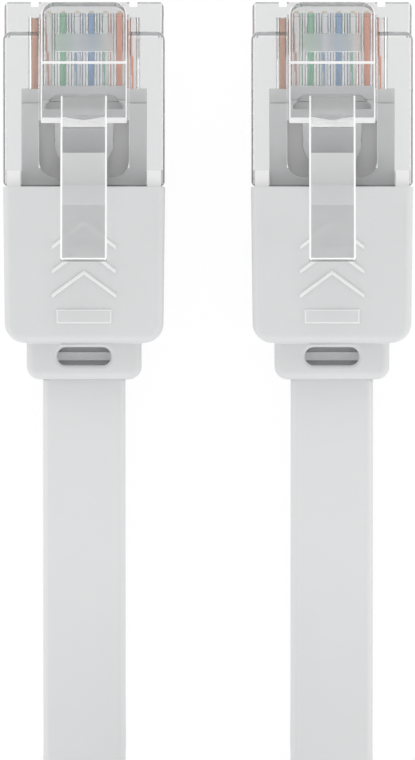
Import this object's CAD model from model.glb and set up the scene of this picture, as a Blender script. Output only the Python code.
import math

import bmesh
import bpy
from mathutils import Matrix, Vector


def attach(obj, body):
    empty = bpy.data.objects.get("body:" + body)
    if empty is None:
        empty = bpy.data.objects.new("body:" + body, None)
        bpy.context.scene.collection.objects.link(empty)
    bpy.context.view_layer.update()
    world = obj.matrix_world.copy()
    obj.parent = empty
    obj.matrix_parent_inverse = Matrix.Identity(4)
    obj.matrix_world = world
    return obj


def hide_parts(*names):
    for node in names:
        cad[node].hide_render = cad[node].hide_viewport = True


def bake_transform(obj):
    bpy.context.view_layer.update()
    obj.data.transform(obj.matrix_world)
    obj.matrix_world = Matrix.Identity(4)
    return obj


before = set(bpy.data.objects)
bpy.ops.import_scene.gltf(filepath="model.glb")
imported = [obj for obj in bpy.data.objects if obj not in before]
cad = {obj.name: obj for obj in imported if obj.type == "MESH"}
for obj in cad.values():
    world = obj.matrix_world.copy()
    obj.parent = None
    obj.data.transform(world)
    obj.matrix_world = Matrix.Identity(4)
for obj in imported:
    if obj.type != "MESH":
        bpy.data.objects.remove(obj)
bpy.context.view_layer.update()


# Camera
# It looks straight down on the latch side of both plugs, from far enough that their sides hardly
# show. The view ends 28 mm behind the necks.
MM = 0.001
VIEW_HEIGHT = 54.95 * MM
VIEW_CENTRE_X, VIEW_CENTRE_Y = -0.04 * MM, -13.67 * MM
CAMERA_HEIGHT, VIEW_LEVEL = 1300 * MM, 3.6 * MM
SENSOR = 36.0


def add_object(name, data):
    """A new object in the scene that shows a mesh, light or camera."""
    made = bpy.data.objects.new(name, data)
    bpy.context.scene.collection.objects.link(made)
    return made


camera = add_object("camera", bpy.data.cameras.new("camera"))
camera.data.sensor_width = SENSOR
camera.data.lens = SENSOR * (CAMERA_HEIGHT - VIEW_LEVEL) / VIEW_HEIGHT
camera.data.clip_start, camera.data.clip_end = 0.01, 10
camera.location = (VIEW_CENTRE_X, VIEW_CENTRE_Y, CAMERA_HEIGHT)
bpy.context.scene.camera = camera


# Flat lead
# White PVC jacket with eight wires side by side in it. Each end leaves its boot flat, sinks to the
# table, twists on edge and runs into the coil: inwards below, up at the inside, outwards above.
PLUG_X = 8.95
PLUGS = {"a": -PLUG_X, "b": PLUG_X}
JACKET_W, JACKET_T = 5.96, 1.5
JACKET_EDGE_R = 0.55
LEAD_A_ROUTE = [
    (-8.95, -1.4, 3.6, 0), (-8.95, -7, 3.6, 0), (-8.95, -13.6, 3.6, 0), (-8.95, -17, 3.5, 0),
    (-8.95, -21, 3, 0), (-8.95, -25, 2.3, 0), (-8.95, -29, 1.6, 0), (-8.95, -33, 1.1, 0),
    (-8.95, -37, 0.8, 0), (-8.95, -41, 0.8, 0), (-9.2, -44.5, 1.3, 10), (-10.1, -48, 2, 24),
    (-11.7, -51.2, 2.6, 42), (-13.9, -54.2, 3, 60), (-16.5, -56.9, 3.3, 75),
    (-19.5, -59.7, 3.4, 86),
]
LEAD_B_ROUTE = [
    (8.95, -1.4, 3.6, 0), (8.95, -7, 3.6, 0), (8.95, -13.6, 3.6, 0), (8.95, -17, 3.5, 0),
    (8.95, -21, 3, 0), (8.95, -25, 2.3, 0), (8.95, -29, 1.6, 0), (8.95, -33, 1.1, 0),
    (8.95, -37, 0.9, 0), (8.95, -41, 1.2, 0), (9.2, -44.5, 2.2, -10), (10.1, -48, 3.8, -24),
    (11.7, -51.2, 5.6, -42), (13.9, -54.2, 7.3, -60), (16.5, -56.9, 8.6, -75),
    (19.5, -59.7, 9.3, -86),
]
COIL_Y, COIL_R, TURN_PITCH = -85, 32, 2.2
LAYER_TURNS, LAYER_LOW, LAYER_HIGH = 2.375, 3.4, 9.5
COIL_START = 135
POINTS_PER_TURN = 48
RAMP = 60


def clamped(t):
    return min(1, max(0, t))


def smooth_step(t):
    t = clamped(t)
    return t * t * (3 - 2 * t)


def coil_point(angle):
    """Point and roll on the coil, at an angle in degrees from where lead a meets it."""
    middle = 360 * LAYER_TURNS
    drop = TURN_PITCH * (middle - abs(angle - middle)) / 360
    rise = smooth_step((angle - middle + RAMP) / (2 * RAMP))
    a = math.radians(COIL_START + angle)
    r = COIL_R - drop
    return (r * math.cos(a), COIL_Y + r * math.sin(a),
            LAYER_LOW + (LAYER_HIGH - LAYER_LOW) * rise, 90)


def splined(points, steps):
    """Points on a smooth curve through the given ones."""
    out = []
    for i in range(len(points) - 1):
        p = [points[min(max(i + k, 0), len(points) - 1)] for k in (-1, 0, 1, 2)]
        for s in range(steps):
            t = s / steps
            out.append(tuple(
                0.5 * (2 * b + (c - a) * t + (2 * a - 5 * b + 4 * c - d) * t * t
                       + (3 * b - a - 3 * c + d) * t ** 3)
                for a, b, c, d in zip(*p)))
    return out + [points[-1]]


def rounded_section(w, h, r, steps=5):
    """Outline of a rectangle with rounded corners, anticlockwise from its right side."""
    out = []
    for corner, (sx, sy) in enumerate(((1, 1), (-1, 1), (-1, -1), (1, -1))):
        for k in range(steps + 1):
            a = math.radians(90 * corner + 90 * k / steps)
            out.append((sx * (w / 2 - r) + r * math.cos(a), sy * (h / 2 - r) + r * math.sin(a)))
    return out


def loft_faces(rings, sides):
    """The faces between rings of points with that many sides, and the two closed ends."""
    faces = [(i * sides + j, i * sides + (j + 1) % sides,
              (i + 1) * sides + (j + 1) % sides, (i + 1) * sides + j)
             for i in range(rings - 1) for j in range(sides)]
    faces.append(tuple(reversed(range(sides))))
    faces.append(tuple(range((rings - 1) * sides, rings * sides)))
    return faces


def reworked(mesh, change):
    """Opens a mesh, makes one change to its corners, edges and faces, and puts them back."""
    bm = bmesh.new()
    bm.from_mesh(mesh)
    change(bm)
    bm.to_mesh(mesh)
    bm.free()


def plain_mesh(name, points, faces):
    """An object made of points in millimetres and the faces between them."""
    mesh = bpy.data.meshes.new(name)
    mesh.from_pydata([[c * MM for c in p] for p in points], [], faces)
    reworked(mesh, lambda bm: bmesh.ops.recalc_face_normals(bm, faces=bm.faces))
    return add_object(name, mesh)


def add_piece(name, points, faces, body, smooth=True):
    """A plain mesh that rides on a body."""
    piece = plain_mesh(name, points, faces)
    for face in piece.data.polygons:
        face.use_smooth = smooth
    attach(piece, body)
    return piece


def swept(points, section):
    """Rings of the section along points that hold a roll, widest side level at roll 0."""
    spots = [Vector(p[:3]) for p in points]
    rings = []
    for i, p in enumerate(points):
        along = (spots[min(i + 1, len(spots) - 1)] - spots[max(i - 1, 0)]).normalized()
        level = along.cross(Vector((0, 0, 1))).normalized()
        above = level.cross(along)
        roll = math.radians(p[3])
        wide = math.cos(roll) * level + math.sin(roll) * above
        thick = math.cos(roll) * above - math.sin(roll) * level
        rings += [spots[i] + x * wide + y * thick for x, y in section]
    return rings


coil_points = [coil_point(a * 360 / POINTS_PER_TURN)
               for a in range(int(2 * LAYER_TURNS * POINTS_PER_TURN) + 1)]
lead_a_points = splined(LEAD_A_ROUTE + [coil_points[0]], 3)
lead_b_points = splined([(*p[:3], -p[3]) for p in reversed(LEAD_B_ROUTE)], 3)
cord_points = lead_a_points[:-1] + coil_points + lead_b_points
section = rounded_section(JACKET_W, JACKET_T, JACKET_EDGE_R)
jacket = add_piece("cable_jacket", swept(cord_points, section),
                   loft_faces(len(cord_points), len(section)), "patch_cable")
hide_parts("cable_lead_a", "cable_lead_b", "cable_coil")


def maths(tree, operation, a, b, c=None):
    """The output of a Math node. Each input is a number or the output of another node."""
    node = tree.nodes.new("ShaderNodeMath")
    node.operation = operation
    for socket, value in zip(node.inputs, (a, b, c)):
        if isinstance(value, (int, float)):
            socket.default_value = value
        elif value is not None:
            tree.links.new(value, socket)
    return node.outputs[0]


def shader(name, colour, roughness, **sockets):
    """A material with one Principled shader. Returns the material, its tree and the shader."""
    material = bpy.data.materials.new(name)
    material.use_nodes = True
    tree = material.node_tree
    principled = tree.nodes["Principled BSDF"]
    principled.inputs["Base Color"].default_value = (*colour, 1)
    principled.inputs["Roughness"].default_value = roughness
    for socket, value in sockets.items():
        principled.inputs[socket.replace("_", " ")].default_value = value
    return material, tree, principled


def plastic_surface():
    """Node group: the fine grain, slow waviness and uneven tone of a moulded surface.

    Sizes are in millimetres. Tone is a grey around 1 that multiplies a colour.
    """
    tree = bpy.data.node_groups.new("moulded_surface", "ShaderNodeTree")
    face = tree.interface
    for label, value in (("Grain Size", 0.12), ("Grain Depth", 0.004), ("Wave Size", 3.0),
                         ("Wave Depth", 0.01), ("Tone Spread", 0.02), ("Roughness", 0.4),
                         ("Roughness Spread", 0.05)):
        face.new_socket(label, in_out="INPUT", socket_type="NodeSocketFloat").default_value = value
    face.new_socket("Normal", in_out="OUTPUT", socket_type="NodeSocketVector")
    face.new_socket("Tone", in_out="OUTPUT", socket_type="NodeSocketFloat")
    face.new_socket("Roughness", in_out="OUTPUT", socket_type="NodeSocketFloat")
    nodes, links = tree.nodes, tree.links
    given, put = nodes.new("NodeGroupInput"), nodes.new("NodeGroupOutput")
    place = nodes.new("ShaderNodeTexCoord")

    def noise(size, detail):
        node = nodes.new("ShaderNodeTexNoise")
        node.inputs["Detail"].default_value = detail
        links.new(place.outputs["Object"], node.inputs["Vector"])
        links.new(maths(tree, "DIVIDE", 1 / MM, given.outputs[size]), node.inputs["Scale"])
        return node.outputs["Fac"]

    def bump(height, depth, below=None):
        node = nodes.new("ShaderNodeBump")
        node.inputs["Distance"].default_value = 1
        metres = maths(tree, "MULTIPLY", given.outputs[depth], MM)
        links.new(maths(tree, "MULTIPLY", height, metres), node.inputs["Height"])
        if below:
            links.new(below, node.inputs["Normal"])
        return node.outputs["Normal"]

    grain, wave = noise("Grain Size", 2), noise("Wave Size", 1)
    links.new(bump(grain, "Grain Depth", bump(wave, "Wave Depth")), put.inputs["Normal"])
    uneven = maths(tree, "ADD", maths(tree, "MULTIPLY", grain, 0.5),
                   maths(tree, "SUBTRACT", wave, 0.75))
    links.new(maths(tree, "MULTIPLY_ADD", uneven, given.outputs["Tone Spread"], 1.0),
              put.inputs["Tone"])
    links.new(maths(tree, "MULTIPLY_ADD", uneven, given.outputs["Roughness Spread"],
                    given.outputs["Roughness"]), put.inputs["Roughness"])
    return tree


moulded_surface = plastic_surface()


def moulded(name, colour, roughness, surface, **sockets):
    """A plastic material whose tone, roughness and normal come from the moulded surface group."""
    material, tree, principled = shader(name, colour, roughness, **sockets)
    group = tree.nodes.new("ShaderNodeGroup")
    group.node_tree = moulded_surface
    group.inputs["Roughness"].default_value = roughness
    for label, value in surface.items():
        group.inputs[label].default_value = value
    toned = tree.nodes.new("ShaderNodeMix")
    toned.data_type, toned.blend_type = "RGBA", "MULTIPLY"
    toned.inputs["Factor"].default_value = 1
    colour_a, colour_b, mixed = toned.inputs[6], toned.inputs[7], toned.outputs[2]
    colour_a.default_value = (*colour, 1)
    tree.links.new(group.outputs["Tone"], colour_b)
    tree.links.new(mixed, principled.inputs["Base Color"])
    tree.links.new(group.outputs["Roughness"], principled.inputs["Roughness"])
    tree.links.new(group.outputs["Normal"], principled.inputs["Normal"])
    return material


def finish_with(piece, *materials):
    """Gives a piece these materials. Faces are told which one they have after this."""
    piece.data.materials.clear()
    for material in materials:
        piece.data.materials.append(material)


finish_with(jacket, moulded(
    "white_pvc", (0.675, 0.68, 0.685), 0.42,
    {"Grain Size": 0.35, "Grain Depth": 0.004, "Wave Size": 2.5, "Wave Depth": 0.03,
     "Tone Spread": 0.02}))


# Twist tie
# Steel wire covered in a flat black plastic strip. It goes once round the coil, and its two ends
# are twisted together inside it.
TIE_W, TIE_T = 3, 0.4
TIE_CORNER_R = 1.2
TAIL_TURNS, TAIL_L, TAIL_R, TAIL_STEPS = 3.5, 8, 0.28, 60
TAIL_W, TAIL_CORNER_R, TAIL_BELOW_TOP = 0.5, 0.24, 2

tie_inner_y = COIL_Y - (COIL_R - LAYER_TURNS * TURN_PITCH - JACKET_T / 2) + 0.03
tie_outer_y = COIL_Y - (COIL_R + JACKET_T / 2 + 0.15)
tie_top = LAYER_HIGH + JACKET_W / 2 + 0.15
loop = rounded_section(tie_inner_y - tie_outer_y, tie_top - TIE_T + 0.05, TIE_CORNER_R, 6)
tie_y, tie_z = (tie_inner_y + tie_outer_y) / 2, (tie_top + TIE_T) / 2
tie_points, n = [], len(loop)
for x in (-TIE_W / 2, TIE_W / 2):
    for grow in (0, TIE_T):
        for y, z in loop:
            out = Vector((y, z)).normalized() * grow
            tie_points.append((x, tie_y + y + math.copysign(min(abs(out.x), grow), y),
                               tie_z + z + out.y))
tie_faces = []
for a, b in ((0, 1), (1, 3), (3, 2), (2, 0)):
    tie_faces += [(a * n + j, a * n + (j + 1) % n, b * n + (j + 1) % n, b * n + j)
                  for j in range(n)]
tie = add_piece("twist_tie", tie_points, tie_faces, "patch_cable", smooth=False)
tie_black = moulded("tie_cover", (0.03, 0.03, 0.032), 0.4,
                    {"Grain Size": 0.2, "Grain Depth": 0.004, "Tone Spread": 0.1})
finish_with(tie, tie_black)
for start in (0, 180):
    strand = []
    for k in range(TAIL_STEPS + 1):
        a = math.radians(start + 360 * TAIL_TURNS * k / TAIL_STEPS)
        strand.append((TAIL_R * math.cos(a), tie_inner_y + TIE_T + TAIL_L * k / TAIL_STEPS,
                       tie_top - TAIL_BELOW_TOP + TAIL_R * math.sin(a), 0))
    ring = rounded_section(TAIL_W, TAIL_W, TAIL_CORNER_R, 2)
    tail = add_piece(f"twist_tie_tail_{start}", swept(strand, ring),
                     loft_faces(len(strand), len(ring)), "patch_cable")
    finish_with(tail, tie_black)
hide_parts("coil_tie")


# Inner moulding and wire guide
# The guide bar spaces the eight wires. White plastic is moulded behind it, inside the housing's
# cavity, and grips the wires and the end of the jacket.
PLUG_L = 27.25
NOSE_Y = PLUG_L / 2
WINDOW_Z, GROOVE_Z = 3.78, 4.5
WINDOW_FRONT, WINDOW_REAR = 6.88, 7.5
WINDOW_FRONT_W, WINDOW_REAR_W = 4.04, 5.7
MOULD_EDGE_R = 0.05
SAME_POINT = 0.0005 * MM
FLAT_ANGLE, SHARP_ANGLE = 0.5, 30


def refined(mesh, bevels, smooth_angle=35):
    """Merges a mesh's flat triangles, bevels edges, and shades it smooth up to an angle.

    Each bevel is (width in mm, segments, material slot or -1, test of an edge's middle in mm).
    """
    def change(bm):
        bmesh.ops.remove_doubles(bm, verts=bm.verts, dist=SAME_POINT)
        bmesh.ops.dissolve_limit(bm, angle_limit=math.radians(FLAT_ANGLE), verts=bm.verts,
                                 edges=bm.edges, delimit={"MATERIAL"})
        for width, segments, slot, chosen in bevels:
            sharp = [e for e in bm.edges if len(e.link_faces) == 2
                     and e.calc_face_angle(0) > math.radians(SHARP_ANGLE)
                     and chosen((e.verts[0].co + e.verts[1].co) / 2 / MM)]
            bmesh.ops.bevel(bm, geom=sharp, offset=width * MM, offset_type="OFFSET",
                            segments=segments, profile=0.5, affect="EDGES", clamp_overlap=True,
                            material=slot)
        bmesh.ops.dissolve_degenerate(bm, dist=SAME_POINT, edges=bm.edges)
        bmesh.ops.recalc_face_normals(bm, faces=bm.faces)
        for face in bm.faces:
            face.smooth = True
        for edge in bm.edges:
            edge.smooth = (len(edge.link_faces) == 2
                           and edge.calc_face_angle(0) < math.radians(smooth_angle))

    reworked(mesh, change)


def even_normals(piece):
    """Lets large flat faces keep their own normals where they meet small bevels."""
    weighted = piece.modifiers.new("even_normals", "WEIGHTED_NORMAL")
    weighted.keep_sharp = True
    weighted.weight = 100


def copy_of(node, name):
    """A new object with the shape of a CAD node, to be modelled further."""
    mesh = cad[node].data.copy()
    mesh.name = name
    mesh.materials.clear()
    reworked(mesh, lambda bm: bmesh.ops.remove_doubles(bm, verts=bm.verts, dist=SAME_POINT))
    return add_object(name, mesh)


def combine(piece, operation, others):
    """Joins others to a piece, or cuts them out of it, and removes them."""
    for other in others:
        modifier = piece.modifiers.new("combine", "BOOLEAN")
        modifier.operation = operation
        modifier.solver = "EXACT"
        modifier.object = other
        bpy.context.view_layer.update()
        made = bpy.data.meshes.new_from_object(
            piece.evaluated_get(bpy.context.evaluated_depsgraph_get()))
        piece.modifiers.clear()
        reworked(made, lambda bm: bmesh.ops.dissolve_degenerate(
            bm, dist=SAME_POINT, edges=bm.edges))
        piece.data = made
        bpy.data.objects.remove(other)


def plan_prism(name, outline, z0, z1):
    """An object that is a plan view, as (x, distance behind the nose), between two heights."""
    return plain_mesh(name, [(x, NOSE_Y - d, z) for z in (z0, z1) for x, d in outline],
                      loft_faces(2, len(outline)))


def settle(piece, node, body):
    """Puts a piece on its body and in the place of its CAD node."""
    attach(piece, body)
    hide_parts(node)


guide_white = moulded("guide_plastic", (0.74, 0.74, 0.74), 0.4, {"Grain Depth": 0.003})
mould_white = moulded("inner_moulding", (0.66, 0.665, 0.665), 0.5,
                      {"Grain Depth": 0.006, "Tone Spread": 0.03})
mould_groove = moulded("inner_moulding_groove", (0.58, 0.58, 0.58), 0.7,
                       {"Grain Size": 0.2, "Grain Depth": 0.01, "Tone Spread": 0.06})
for end, x in PLUGS.items():
    for node, name, slot, white in (
            ("wire_guide", "guide_bar", "guide_plastic", guide_white),
            ("inner_mould", "first_moulding", "mould_plastic", mould_white)):
        piece = copy_of(f"{node}_{end}", f"{name}_{end}")
        if node == "wire_guide":
            combine(piece, "DIFFERENCE", [plan_prism("window", [
                (x - WINDOW_REAR_W / 2, WINDOW_REAR), (x + WINDOW_REAR_W / 2, WINDOW_REAR),
                (x + WINDOW_FRONT_W / 2, WINDOW_FRONT), (x - WINDOW_FRONT_W / 2, WINDOW_FRONT)],
                WINDOW_Z, 6)])
        refined(piece.data, [(MOULD_EDGE_R, 2, -1, lambda m: True)])
        even_normals(piece)
        settle(piece, f"{node}_{end}", "patch_cable")
        finish_with(piece, white, mould_groove)
        for face in piece.data.polygons:
            face.material_index = int(abs(face.center.z / MM - GROOVE_Z) < 0.01)


# Wires
# Stranded copper in coloured insulation. The pale wire of each pair has a stripe of its pair's
# colour that winds slowly round it. They run straight over the contacts, then close up inside the
# moulding to the width of the jacket.
CONTACT_PITCH, JACKET_WIRE_PITCH = 1.016, 0.67
WIRE_D, WIRE_Z, JACKET_Z = 0.66, 3.2, 3.6
WIRE_FRONT, WIRE_REAR, CLOSING_FRONT, CLOSING_REAR = 1.15, 14.97, 7.61, 14.1
WIRE_ORDER = ["white_orange", "orange", "white_green", "blue", "white_blue", "green",
              "white_brown", "brown"]
MIDDLE_PIN = (len(WIRE_ORDER) + 1) / 2
WIRE_SIDES, WIRE_STEPS, STRIPE_SIDES, STEPS_PER_SIDE = 20, 60, 2, 6
PAIRS = {"orange": (0.9, 0.37, 0.23), "green": (0.27, 0.6, 0.39), "blue": (0.25, 0.43, 0.68),
         "brown": (0.62, 0.35, 0.26)}
PALE, PALE_TINT = (0.97, 0.95, 0.95), 0.08
plain_wire = {c: moulded(f"insulation_{c}", shade, 0.35, {"Grain Depth": 0.002})
              for c, shade in PAIRS.items()}
pale_wire = {c: moulded(f"insulation_white_{c}",
                        tuple((1 - PALE_TINT) * p + PALE_TINT * q for p, q in zip(PALE, shade)),
                        0.35, {"Grain Depth": 0.002}) for c, shade in PAIRS.items()}
for end, x in PLUGS.items():
    for pin, wire in enumerate(WIRE_ORDER, 1):
        wide, close = ((MIDDLE_PIN - pin) * pitch for pitch in (CONTACT_PITCH, JACKET_WIRE_PITCH))
        line = []
        for k in range(WIRE_STEPS + 1):
            d = WIRE_FRONT + (WIRE_REAR - WIRE_FRONT) * k / WIRE_STEPS
            t = clamped((d - CLOSING_FRONT) / (CLOSING_REAR - CLOSING_FRONT))
            line.append((x + wide + (close - wide) * t, NOSE_Y - d,
                         WIRE_Z + (JACKET_Z - WIRE_Z) * t, 0))
        ring = rounded_section(WIRE_D, WIRE_D, WIRE_D / 2 - 0.001, WIRE_SIDES // 4 - 1)
        insulation = add_piece(f"insulated_wire_{end}_{wire}", swept(line, ring),
                               loft_faces(len(line), len(ring)), "patch_cable")
        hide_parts(f"wire_{end}_{wire}")
        colour = wire.replace("white_", "")
        finish_with(insulation, *([plain_wire[colour]] if wire == colour
                                  else [pale_wire[colour], plain_wire[colour]]))
        if wire != colour:
            for face in insulation.data.polygons[:WIRE_STEPS * WIRE_SIDES]:
                ring_at, around = divmod(face.index, WIRE_SIDES)
                turned = (around - ring_at // STEPS_PER_SIDE) % WIRE_SIDES
                face.material_index = int(turned < STRIPE_SIDES)

copper = moulded("copper_strands", (0.8, 0.42, 0.26), 0.3,
                 {"Grain Size": 0.08, "Grain Depth": 0.01, "Tone Spread": 0.15,
                  "Roughness Spread": 0.2}, Metallic=1.0)
for end in "ab":
    finish_with(cad[f"conductors_{end}"], copper)


# Contacts
# Eight stamped phosphor bronze blades with gold plating. A crimping tool presses them up from
# below until their teeth pierce the wires.
gold = moulded("gold_plating", (0.83, 0.62, 0.27), 0.22,
               {"Grain Size": 0.05, "Grain Depth": 0.001, "Wave Size": 1, "Wave Depth": 0.002,
                "Tone Spread": 0.05, "Roughness Spread": 0.15}, Metallic=1.0)
for end in "ab":
    finish_with(cad[f"contacts_{end}"], gold)


# Plug housing
# Clear polycarbonate, injection moulded in one piece. Its slots and recess have crisp edges that
# the mould leaves slightly frosted. The wires and the white moulding show through it.
HOUSING_W, HOUSING_ROUND = 11.68, 0.45
NOSE_L, HOUSING_L = 2.15, 13.35
HOUSING_Z, NOSE_TOP, HOUSING_TOP = 0.3, 6.2, 6.9
LATCH_W, LATCH_T = 6.2, 1.45
FRONT_ROUND, REAR_ROUND, NOSE_FRONT_ROUND, NOSE_REAR_ROUND = 0.6, 0.25, 0.06, 0.1
RECESS_W, RECESS_REAR = 6.4, 12
TONGUE_Z, TONGUE_FRONT, TONGUE_REAR, TONGUE_ROUND = 5.9, 8.7, 12.3, 0.06
SKIRT_W, SKIRT_REAR, SKIRT_LOW, SKIRT_HIGH = 10.2, 16, 0.6, 5.7
ROOT_L, ROOT_LOW, ROOT_REAR_LOW = 1.25, 4.74, 5.05
POLYCARBONATE_IOR = 1.585
CLEAR, FROSTED, ROUNDED = range(3)


def mixed_with(tree, other, share):
    """Mixes a share of another shader into the material's Principled shader."""
    either = tree.nodes.new("ShaderNodeMixShader")
    tree.links.new(share, either.inputs["Fac"])
    tree.links.new(tree.nodes["Principled BSDF"].outputs[0], either.inputs[1])
    tree.links.new(other.outputs[0], either.inputs[2])
    tree.links.new(either.outputs[0], tree.nodes["Material Output"].inputs["Surface"])


def let_light_in(material, share):
    """Lets that share of the light straight through to what lies inside."""
    tree = material.node_tree
    rays = tree.nodes.new("ShaderNodeLightPath")
    inward = maths(tree, "MAXIMUM", rays.outputs["Is Shadow Ray"], rays.outputs["Is Diffuse Ray"])
    mixed_with(tree, tree.nodes.new("ShaderNodeBsdfTransparent"),
               maths(tree, "MULTIPLY", inward, share))


def clear(name, colour, roughness, share_let_in):
    """Clear plastic with the faint flow marks of its moulding."""
    material = moulded(name, colour, roughness,
                       {"Grain Size": 0.5, "Grain Depth": 0.0004, "Wave Size": 2.2,
                        "Wave Depth": 0.003, "Tone Spread": 0.004, "Roughness Spread": 0.02},
                       Transmission_Weight=1.0, IOR=POLYCARBONATE_IOR)
    let_light_in(material, share_let_in)
    return material


clear_plastic = clear("clear_polycarbonate", (0.75, 0.755, 0.76), 0.03, 0.97)
frosted_edge = moulded("frosted_edge", (0.9, 0.9, 0.9), 0.5, {"Grain Depth": 0.003})
clear_rounding = clear("clear_rounding", (0.2, 0.205, 0.21), 0.05, 0.8)


def prism(name, profile, x0, x1):
    """An object that is a side view, drawn as (distance behind the nose, height), from x0 to x1."""
    return plain_mesh(name, [(x, NOSE_Y - d, z) for x in (x0, x1) for d, z in profile],
                      loft_faces(2, len(profile)))


def box(name, x0, x1, d0, d1, z0, z1):
    """A block between two places across the plug, two behind its nose and two heights."""
    return prism(name, [(d0, z0), (d1, z0), (d1, z1), (d0, z1)], x0, x1)


def soft_block(name, x, w, d0, d1, z1, front_r, rear_r):
    """A block with rounded long edges, whose two ends are rounded all round as well."""
    rings, steps = [], 6
    for k in range(2 * steps + 2):
        a = math.radians(90 * (k if k <= steps else k - 1 - steps) / steps)
        if k <= steps:
            d, into = d0 + front_r * (1 - math.cos(a)), front_r * (1 - math.sin(a))
        else:
            d, into = d1 - rear_r * (1 - math.sin(a)), rear_r * (1 - math.cos(a))
        rings += [(x + px, NOSE_Y - d, (HOUSING_Z + z1) / 2 + pz) for px, pz in rounded_section(
            w - 2 * into, z1 - HOUSING_Z - 2 * into, HOUSING_ROUND, steps)]
    sides = 4 * (steps + 1)
    return plain_mesh(name, rings, loft_faces(len(rings) // sides, sides))


for end, x in PLUGS.items():
    housing = copy_of(f"plug_housing_{end}", f"clear_housing_{end}")
    outside = soft_block("main", x, HOUSING_W - 0.01, NOSE_L + 0.01, HOUSING_L - 0.01,
                         HOUSING_TOP - 0.005, FRONT_ROUND, REAR_ROUND)
    combine(outside, "UNION", [
        soft_block("nose", x, HOUSING_W - 0.19, 0.01, NOSE_L + 1, NOSE_TOP - 0.005,
                   NOSE_FRONT_ROUND, NOSE_REAR_ROUND),
        box("skirt", x - SKIRT_W / 2, x + SKIRT_W / 2, HOUSING_L - 0.4, SKIRT_REAR,
            SKIRT_LOW, SKIRT_HIGH)])
    combine(housing, "INTERSECT", [outside])
    root_pocket = [(-1, ROOT_LOW), (0, ROOT_LOW), (ROOT_L, ROOT_REAR_LOW), (ROOT_L, 9), (-1, 9)]
    edge = RECESS_W / 2
    combine(housing, "DIFFERENCE", [
        prism("root_pocket", root_pocket, x - LATCH_W / 2 - 0.01, x + LATCH_W / 2 + 0.01)] + [
        plain_mesh("recess_edge", [
            (x + hand * ex, NOSE_Y - d, HOUSING_TOP + ez) for d in (NOSE_L + 0.4, RECESS_REAR)
            for ex, ez in ((edge + 0.08, 0.01), (edge - 0.2, 0.2), (edge - 0.01, -0.1))],
            loft_faces(2, 3)) for hand in (-1, 1)])
    refined(housing.data, [
        (TONGUE_ROUND, 2, -1, lambda m: abs(m.z - TONGUE_Z) < 0.02 and abs(m.x - x) < 2.2
         and TONGUE_FRONT < NOSE_Y - m.y < TONGUE_REAR),
    ])
    even_normals(housing)
    settle(housing, f"plug_housing_{end}", "patch_cable")
    finish_with(housing, clear_plastic, frosted_edge, clear_rounding)
    for face in housing.data.polygons:
        middle, tilt = face.center / MM, abs(face.normal.z)
        outer = middle.z > 5.7 and NOSE_Y - middle.y > 0.5
        at_recess = middle.z > HOUSING_TOP - 0.15 and abs(abs(middle.x - x) - edge) < 0.12
        if at_recess and 0.3 < abs(face.normal.x) < 0.95:
            face.material_index = FROSTED
        else:
            steepest = 0.75 if abs(face.normal.x) > 0.3 else 0.9
            face.material_index = ROUNDED if outer and 0.2 < tilt < steepest else CLEAR


# Latch
# Sprung latch of the same clear plastic, moulded in one piece with the housing. It has a raised
# pad, shoulders that catch in the jack and a narrow finger tab, with frosted edges. It bends at
# its root on the nose, so the root stays with the housing and the rest turns.
LATCH_SLOPE = math.radians(16.5)
TAB_W, TAB_T = 3.35, 0.9
PAD_H, PAD_END = 0.25, 4.42
PANEL_H, PANEL_W, PANEL_FRONT, PANEL_REAR = 0.1, 4.12, 2.42, 3.72
SHOULDER, TAB_START, MATT_START, TAB_END, TAB_STEP_H = 8.36, 6.8, 14.55, 18.6, 0.12
LATCH_CORNER_R = 0.9
GUSSET_FRONT, GUSSET_REAR, PATCH_FRONT, PATCH_REAR = 8, 9, 6.65, 7.95
HOLLOW_SIDE, HOLLOW_MIDDLE, HOLLOW_SLOPE, HOLLOW_REAR = 8.03, 8.32, 8.9, 9.3
EDGE_W, TAB_EDGE_W, LOW_EDGE = 0.09, 0.14, 0.05
BEND_START, BEND_END = 0.5, 1.7


def on_latch(d, v):
    """The point v above the latch's top face, whose foot is at distance d behind the nose."""
    return (d - v * math.sin(LATCH_SLOPE),
            NOSE_TOP + d * math.tan(LATCH_SLOPE) + v * math.cos(LATCH_SLOPE))


def latch_stations():
    """(distance, width, low level, high level, chamfer) of the wide part's rings."""
    out = []
    for k in range(7):
        a = math.radians(90 * k / 6)
        out.append((0.1 + LATCH_CORNER_R * (1 - math.cos(a)),
                    LATCH_W - 2 * LATCH_CORNER_R * (1 - math.sin(a)), -LATCH_T, PAD_H, EDGE_W))
    for d in (1.1, 1.3, 1.5, 1.7, 2, PAD_END - 0.03):
        out.append((d, LATCH_W, -LATCH_T, PAD_H, EDGE_W))
    return out + [(PAD_END + 0.05, LATCH_W, -LATCH_T, -TAB_STEP_H, EDGE_W),
                  (SHOULDER, LATCH_W, -LATCH_T, -TAB_STEP_H, EDGE_W)]


def tab_stations():
    """The same for the finger tab's rings."""
    return [(TAB_START, TAB_W, -TAB_T, 0, TAB_EDGE_W),
            (MATT_START, TAB_W, -TAB_T, 0, TAB_EDGE_W),
            (TAB_END - 1, TAB_W, -TAB_T, 0, TAB_EDGE_W),
            (TAB_END - 0.08, TAB_W, -TAB_T + 0.15, 0, TAB_EDGE_W),
            (TAB_END, TAB_W - 0.16, -TAB_T + 0.25, -0.1, TAB_EDGE_W)]


def satin(name, colour, roughness):
    """Clear plastic with a fine matt grain."""
    return moulded(name, colour, roughness, {"Grain Depth": 0.003},
                   Transmission_Weight=1.0, IOR=POLYCARBONATE_IOR)


PANEL, ROOT = 2, 3
finishes = (clear("clear_latch", (0.84, 0.845, 0.85), 0.03, 0.97), frosted_edge,
            satin("satin_panel", (0.95, 0.95, 0.95), 0.5),
            satin("satin_root", (0.6, 0.6, 0.6), 0.3))


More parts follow.
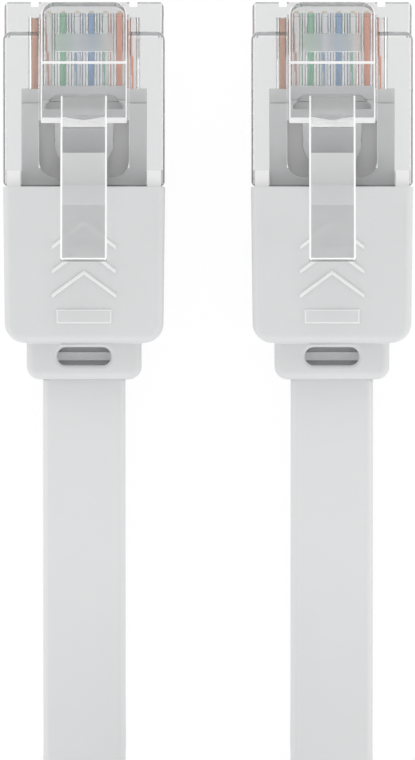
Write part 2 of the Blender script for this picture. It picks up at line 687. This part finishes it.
def latch_loft(name, x, stations, frosted_ring, front, rear, matt_ring):
    """A loft through the stations, with its upper edges and one step frosted.

    front and rear are the finishes of its ends. Its underside is matt from matt_ring on.
    """
    rings = []
    for d, w, v0, v1, c in stations:
        for px, v in ((w / 2, v0 + LOW_EDGE), (w / 2, v1 - c), (w / 2 - c, v1),
                      (c - w / 2, v1), (-w / 2, v1 - c), (-w / 2, v0 + LOW_EDGE),
                      (LOW_EDGE - w / 2, v0), (w / 2 - LOW_EDGE, v0)):
            back, z = on_latch(d, v)
            rings.append((x + px, NOSE_Y - back, z))
    piece = plain_mesh(name, rings, loft_faces(len(stations), 8))
    finish_with(piece, *finishes)
    for face in piece.data.polygons[:8 * len(stations) - 8]:
        ring_at, around = divmod(face.index, 8)
        if around in (1, 3) or (around == 2 and ring_at == frosted_ring):
            face.material_index = FROSTED
        elif around == 6 and ring_at >= matt_ring:
            face.material_index = ROOT
    piece.data.polygons[-2].material_index = front
    piece.data.polygons[-1].material_index = rear
    return piece


def latch_box(name, d0, d1, v0, v1, x, w):
    """A block that leans with the latch, between two levels above its top face."""
    return prism(name, [on_latch(d0, v0), on_latch(d1, v0), on_latch(d1, v1), on_latch(d0, v1)],
                 x - w / 2, x + w / 2)


for end, x in PLUGS.items():
    wide = latch_stations()
    latch = latch_loft(f"sprung_latch_{end}", x, wide, len(wide) - 3, PANEL, FROSTED, len(wide))
    tab = latch_loft("tab", x, tab_stations(), 3, CLEAR, CLEAR, 1)
    gusset = latch_box("gusset", GUSSET_FRONT, GUSSET_REAR, -LATCH_T, -0.5, x, TAB_W - 0.1)
    matt_patch = latch_box("matt_patch", PATCH_FRONT, PATCH_REAR, -LATCH_T - 0.02, -0.5,
                           x, TAB_W - 0.1)
    panel = latch_box("panel", PANEL_FRONT, PANEL_REAR, 0.1, PAD_H + PANEL_H, x, PANEL_W)
    under_root = []
    for px, front in ((-TAB_W / 2, HOLLOW_SIDE), (0, HOLLOW_MIDDLE), (TAB_W / 2, HOLLOW_SIDE)):
        for back, v in ((front, -LATCH_T - 0.01), (front, -3), (HOLLOW_REAR, -3),
                        (HOLLOW_REAR, -TAB_T - 0.01), (HOLLOW_SLOPE, -TAB_T - 0.01)):
            foot, z = on_latch(back, v)
            under_root.append((x + px, NOSE_Y - foot, z))
    hollow = plain_mesh("hollow", under_root, loft_faces(3, 5))
    for part, finish, chosen in ((panel, PANEL, lambda tilt: tilt > 0.8),
                                 (matt_patch, PANEL, lambda tilt: tilt < -0.8),
                                 (hollow, ROOT, lambda tilt: True)):
        finish_with(part, *finishes)
        for face in part.data.polygons:
            face.material_index = finish if chosen(face.normal.z) else CLEAR
    combine(latch, "UNION", [tab, gusset, matt_patch, panel])
    combine(latch, "DIFFERENCE", [box("nose_plane", x - 4, x + 4, -3, 0.02, 2, 9), hollow])
    start, finish = ((x * MM, (NOSE_Y - d) * MM, 5.9 * MM) for d in (BEND_START, BEND_END))
    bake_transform(latch)
    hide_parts(f"latch_{end}")


# Boot
# White plastic with a fine spark-eroded grain, moulded over the housing's skirt and locked into
# it by two lugs. Its neck has a flex slot above and below, with a rib in the upper one, and its
# top has raised chevrons and a bar for grip.
BOOT_FRONT, BOOT_REAR, NECK_END = 13.35, 24.6, 27.25
BOOT_W, BOOT_H, BOOT_TAPER, BOOT_EDGE_R, BOOT_CORNER_R = 11.68, 7.2, 0.28, 0.6, 1.4
NECK_W, NECK_H, NECK_EDGE_R, NECK_CORNER_R = 8.28, 4.4, 0.6, 0.95
SLOT_W, SLOT_L, SLOT_AT = 3.92, 1.3, 25.58
RIB_L, RIB_H = 0.62, 0.5
PASSAGE_W, PASSAGE_H = JACKET_W + 0.06, JACKET_T + 0.06
LUG_X, LUG_W, LUG_FRONT, LUG_LOW, LUG_HIGH = 5.065, 0.99, 12.165, 2.065, 6.85
KEY_W, KEY_FRONT, KEY_LOW, KEY_HIGH, INTO_BOOT = 3.18, 11, 5.93, 6.23, 13.5
SEAT_W, SEAT_REAR, SEAT_LOW, SEAT_HIGH = 10.11, 15.83, 0.67, 5.63
FILL_W, FILL_REAR, FILL_LOW, FILL_HIGH = 9.04, 17.23, 1.2, 5.1
RELIEF_H = 0.12
BAR_W, BAR_FRONT, BAR_REAR = 3.97, 22.2, 23.22
CHEVRON_HALF_W, CHEVRON_DROP, CHEVRON_LINE = 2.3, 1.7, 0.26
CHEVRON_AT, CHEVRON_PITCH = 15.9, 1.75


def narrowed(size, radius, into):
    """A size after a rounded corner of that radius has been entered by a distance."""
    into = min(max(into, 0), radius)
    return size - 2 * (radius - math.sqrt(radius * radius - into * into))


def boot_stations():
    """(distance, width, height, edge radius) of the rings from the boot's front to its neck."""
    out = [(BOOT_FRONT, BOOT_W - 0.12, BOOT_H - 0.12, BOOT_EDGE_R),
           (BOOT_FRONT + 0.06, BOOT_W, BOOT_H, BOOT_EDGE_R)]
    bend = BOOT_REAR - BOOT_CORNER_R
    for k in range(15):
        d = bend + BOOT_CORNER_R * math.sin(math.radians(90 * k / 14))
        w = BOOT_W - BOOT_TAPER * (d - BOOT_FRONT) / (BOOT_REAR - BOOT_FRONT)
        w = narrowed(w, BOOT_CORNER_R, d - bend)
        h = narrowed(BOOT_H, BOOT_EDGE_R, d - (BOOT_REAR - BOOT_EDGE_R))
        out.append((d, w, h, BOOT_EDGE_R))
    out += [(BOOT_REAR + 0.01, NECK_W + 0.16, NECK_H + 0.16, NECK_EDGE_R),
            (BOOT_REAR + 0.08, NECK_W, NECK_H, NECK_EDGE_R)]
    bend = NECK_END - NECK_CORNER_R
    for k in range(11):
        d = bend + NECK_CORNER_R * math.sin(math.radians(90 * k / 10))
        out.append((d, narrowed(NECK_W, NECK_CORNER_R, d - bend),
                    narrowed(NECK_H, NECK_EDGE_R, d - (NECK_END - NECK_EDGE_R)), NECK_EDGE_R))
    return out


def stadium(x, w, l, d):
    """Outline of a slot with round ends."""
    return [(x + sx * (w - l) / 2 + sx * l / 2 * math.sin(math.radians(a)),
             d - sx * l / 2 * math.cos(math.radians(a)))
            for sx in (1, -1) for a in range(0, 181, 12)]


boot_white = moulded("boot_plastic", (0.65, 0.655, 0.66), 0.55,
                     {"Grain Size": 0.16, "Grain Depth": 0.012, "Wave Size": 3,
                      "Wave Depth": 0.01, "Tone Spread": 0.03})
relief_white = moulded("boot_relief", (0.8, 0.8, 0.8), 0.4, {"Grain Depth": 0.004})
for end, x in PLUGS.items():
    stations, rings = boot_stations(), []
    for d, w, h, r in stations:
        rings += [(x + px, NOSE_Y - d, BOOT_H / 2 + pz)
                  for px, pz in rounded_section(w, h, r, 7)]
    boot = add_piece(f"moulded_boot_{end}", rings,
                     loft_faces(len(stations), len(rings) // len(stations)),
                     "patch_cable")
    parts = [box("bar", x - BAR_W / 2, x + BAR_W / 2, BAR_FRONT, BAR_REAR,
                 BOOT_H - 0.2, BOOT_H + RELIEF_H)]
    for k in range(3):
        d, half, line = CHEVRON_AT + CHEVRON_PITCH * k, CHEVRON_HALF_W, CHEVRON_LINE
        parts.append(plan_prism("chevron", [
            (x, d), (x + half, d + CHEVRON_DROP), (x + half, d + CHEVRON_DROP + line),
            (x, d + line), (x - half, d + CHEVRON_DROP + line), (x - half, d + CHEVRON_DROP)],
            BOOT_H - 0.2, BOOT_H + RELIEF_H))
    for lug in (x - LUG_X, x + LUG_X):
        parts.append(box("lug", lug - LUG_W / 2, lug + LUG_W / 2, LUG_FRONT, INTO_BOOT,
                         LUG_LOW, LUG_HIGH))
    parts.append(box("key", x - KEY_W / 2, x + KEY_W / 2, KEY_FRONT, INTO_BOOT,
                     KEY_LOW, KEY_HIGH))
    combine(boot, "UNION", parts)
    slot = stadium(x, SLOT_W, SLOT_L, SLOT_AT)
    combine(boot, "DIFFERENCE", [
        box("skirt", x - SEAT_W / 2, x + SEAT_W / 2, 13, SEAT_REAR, SEAT_LOW, SEAT_HIGH),
        box("moulding", x - FILL_W / 2, x + FILL_W / 2, 13, FILL_REAR, FILL_LOW, FILL_HIGH),
        box("passage", x - PASSAGE_W / 2, x + PASSAGE_W / 2, 16, 30,
            JACKET_Z - PASSAGE_H / 2, JACKET_Z + PASSAGE_H / 2),
        plan_prism("flex_slot", slot, JACKET_Z, BOOT_H + 1),
        plan_prism("flex_slot", slot, -1, JACKET_Z)])
    slot_floor = JACKET_Z + JACKET_T / 2
    combine(boot, "UNION", [plan_prism("slot_rib", stadium(x, SLOT_W + 0.3, RIB_L, SLOT_AT),
                                       slot_floor + 0.06, slot_floor + RIB_H)])
    refined(boot.data, [
        (0.05, 2, -1, lambda m: m.z > BOOT_H - 0.01 and 14 < NOSE_Y - m.y < 22
         and abs(m.x - x) < 3),
        (0.1, 2, 1, lambda m: m.z > BOOT_H + 0.1 and 22 < NOSE_Y - m.y < 23.5),
        (0.3, 4, -1, lambda m: abs(NOSE_Y - m.y - SLOT_AT) < 0.8 and abs(m.x - x) < 2.2
         and abs(m.z - JACKET_Z) > 2.0),
        (0.2, 4, -1, lambda m: abs(NOSE_Y - m.y - SLOT_AT) < 0.4 and abs(m.x - x) < 2
         and abs(m.z - slot_floor - RIB_H) < 0.02),
    ], 30)
    even_normals(boot)
    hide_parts(f"boot_{end}")
    finish_with(boot, boot_white, relief_white)
    for face in boot.data.polygons:
        height, back = face.center.z / MM, NOSE_Y - face.center.y / MM
        on_relief = height > BOOT_H + 0.03 and (back < 22 or face.normal.z < 0.95)
        on_lug_or_key = height > 6.2 and back < 13.3
        face.material_index = int(on_relief or on_lug_or_key)


# Table and light
# A matt white table that fades into white, with the object's soft shadow on it. The light comes
# from all round, strongest from the sides, with four small soft lamps.
ZENITH, HORIZON = 0.5, 1.4
TABLE_GLOW, TABLE_SHARE = 1.03, 0.9
LAMPS_AIM = (0, -0.01, 0)


def rays_that_see(tree):
    """1 for the camera's rays and for those that gloss and clear plastic send on, otherwise 0."""
    rays = tree.nodes.new("ShaderNodeLightPath")
    seen = maths(tree, "MAXIMUM", rays.outputs["Is Camera Ray"], rays.outputs["Is Glossy Ray"])
    return maths(tree, "MAXIMUM", seen, rays.outputs["Is Transmission Ray"])


floor_mesh = bpy.data.meshes.new("table")
floor_mesh.from_pydata([(-3, -3, 0), (3, -3, 0), (3, 3, 0), (-3, 3, 0)], [], [(0, 1, 2, 3)])
floor = add_object("table", floor_mesh)
floor.location.z = -0.02 * MM

table_white, tree = shader("table_white", (0.9, 0.9, 0.9), 1)[:2]
glow = tree.nodes.new("ShaderNodeEmission")
glow.inputs["Color"].default_value = (1, 1, 1, 1)
glow.inputs["Strength"].default_value = TABLE_GLOW
mixed_with(tree, glow, maths(tree, "MULTIPLY", rays_that_see(tree), TABLE_SHARE))
floor.data.materials.append(table_white)

world = bpy.data.worlds.new("studio")
bpy.context.scene.world = world
world.use_nodes = True
tree = world.node_tree
nodes, links = tree.nodes, tree.links
sky = nodes.new("ShaderNodeTexCoord")
split = nodes.new("ShaderNodeSeparateXYZ")
links.new(sky.outputs["Generated"], split.inputs[0])
level = nodes.new("ShaderNodeMapRange")
for label, value in (("From Min", 0), ("From Max", 1), ("To Min", HORIZON), ("To Max", ZENITH)):
    level.inputs[label].default_value = value
links.new(split.outputs["Z"], level.inputs["Value"])
backdrop = nodes.new("ShaderNodeMix")
links.new(rays_that_see(tree), backdrop.inputs["Factor"])
links.new(level.outputs["Result"], backdrop.inputs["A"])
backdrop.inputs["B"].default_value = 1
links.new(backdrop.outputs["Result"], nodes["Background"].inputs["Strength"])
nodes["Background"].inputs["Color"].default_value = (1, 1, 1, 1)

for name, place, size, power in (("back_lamp", (0, 0.35, 0.2), 0.25, 0.2),
                                 ("front_lamp", (0, -0.4, 0.25), 0.25, 0.5),
                                 ("left_lamp", (-0.4, -0.01, 0.15), 0.2, 0.25),
                                 ("right_lamp", (0.4, -0.01, 0.15), 0.2, 0.25)):
    light = bpy.data.lights.new(name, "AREA")
    light.energy, light.size = power, size
    holder = add_object(name, light)
    holder.location = place
    holder.rotation_euler = (Vector(LAMPS_AIM) - Vector(place)).to_track_quat("-Z", "Y").to_euler()

bpy.context.scene.view_settings.view_transform = "Standard"
